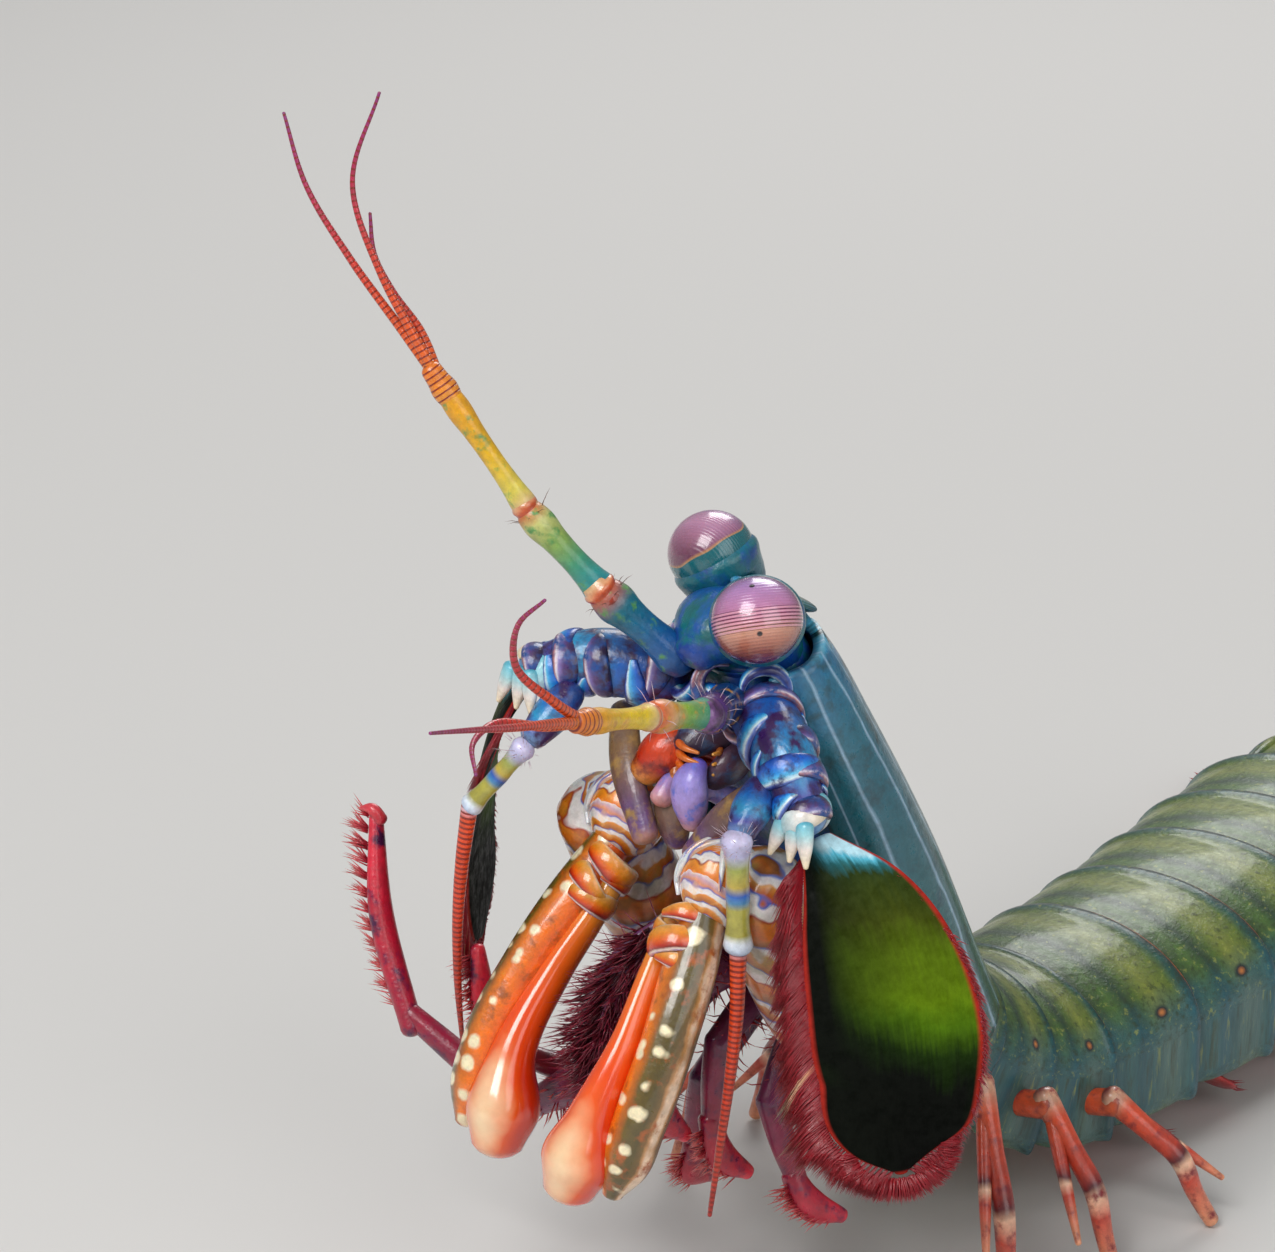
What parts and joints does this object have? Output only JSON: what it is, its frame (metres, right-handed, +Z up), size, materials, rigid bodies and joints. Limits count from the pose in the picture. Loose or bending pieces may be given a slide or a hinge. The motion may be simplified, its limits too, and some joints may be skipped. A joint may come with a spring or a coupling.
{
  "type": "mantis shrimp",
  "caption": "Still life-size model of a peacock mantis shrimp, reared up on its walking legs with both clubs hanging, eyes raised and feelers spread, tail stretched out behind.",
  "frame": {"origin": "on the floor, under the middle of the whole figure", "axes": "+Z up, the head faces -Y and the tail trails towards +Y, +X is the animal's left side"},
  "size_m": [0.0678, 0.1675, 0.0934],
  "materials": {
    "shell_olive": "satin olive-green shell",
    "shell_teal": "satin teal shell with pale lines",
    "shell_blue": "satin cobalt and violet shell",
    "eye": "glossy faceted cornea, mauve",
    "feeler": "satin golden yellow with teal and orange rings",
    "whip": "satin orange-red, finely ringed",
    "peduncle": "translucent yellow-green with pale blue bands",
    "scale": "satin green plate with a red fringe",
    "mouth": "satin orange",
    "palp": "satin lavender",
    "claw_joint": "glossy, striped white, orange and pale blue",
    "palm": "glossy translucent brown-orange with white spots",
    "club": "glossy orange-red with a pale heel",
    "maxilliped": "satin crimson with bristles",
    "leg": "satin orange-red",
    "swimmeret": "soft red flaps with fringes",
    "tail": "satin olive plate with red and blue edges",
    "uropod": "satin orange-red paddles with red fringes"
  },
  "bodies": {
    "root": {"abdomen_1": "shell_olive", "abdomen_2": "shell_olive", "abdomen_3": "shell_olive", "abdomen_4": "shell_olive", "abdomen_5": "shell_olive", "abdomen_6": "shell_olive", "thorax_8": "shell_olive", "thorax_7": "shell_olive", "thorax_6": "shell_olive", "thorax_front": "shell_teal", "carapace": "shell_teal", "rostrum": "shell_teal", "head": "shell_blue", "eye_left": "eye", "eyestalk_left": "shell_teal", "eye_right": "eye", "eyestalk_right": "shell_teal", "antennule_left": "feeler", "antennule_left_whips": "whip", "antennule_right": "feeler", "antennule_right_whips": "whip", "antenna_left_base": "shell_blue", "antenna_left_stalk": "peduncle", "antenna_left_whip": "whip", "antenna_left_scale": "scale", "antenna_right_base": "shell_blue", "antenna_right_stalk": "peduncle", "antenna_right_whip": "whip", "antenna_right_scale": "scale", "mouth": "mouth", "maxilliped_1_left": "palp", "maxilliped_1_right": "palp", "claw_left_wrist": "claw_joint", "claw_left_palm": "palm", "claw_left_club": "club", "claw_left_merus": "claw_joint", "claw_right_wrist": "claw_joint", "claw_right_palm": "palm", "claw_right_club": "club", "claw_right_merus": "claw_joint", "maxilliped_3_left": "maxilliped", "maxilliped_4_left": "maxilliped", "maxilliped_5_left": "maxilliped", "maxilliped_3_right": "maxilliped", "maxilliped_4_right": "maxilliped", "maxilliped_5_right": "maxilliped", "leg_1_left": "leg", "leg_2_left": "leg", "leg_3_left": "leg", "leg_1_right": "leg", "leg_2_right": "leg", "leg_3_right": "leg", "swimmeret_1": "swimmeret", "swimmeret_2": "swimmeret", "swimmeret_3": "swimmeret", "swimmeret_4": "swimmeret", "swimmeret_5": "swimmeret", "telson": "tail", "uropod_left": "uropod", "uropod_right": "uropod"}
  },
  "joints": []
}
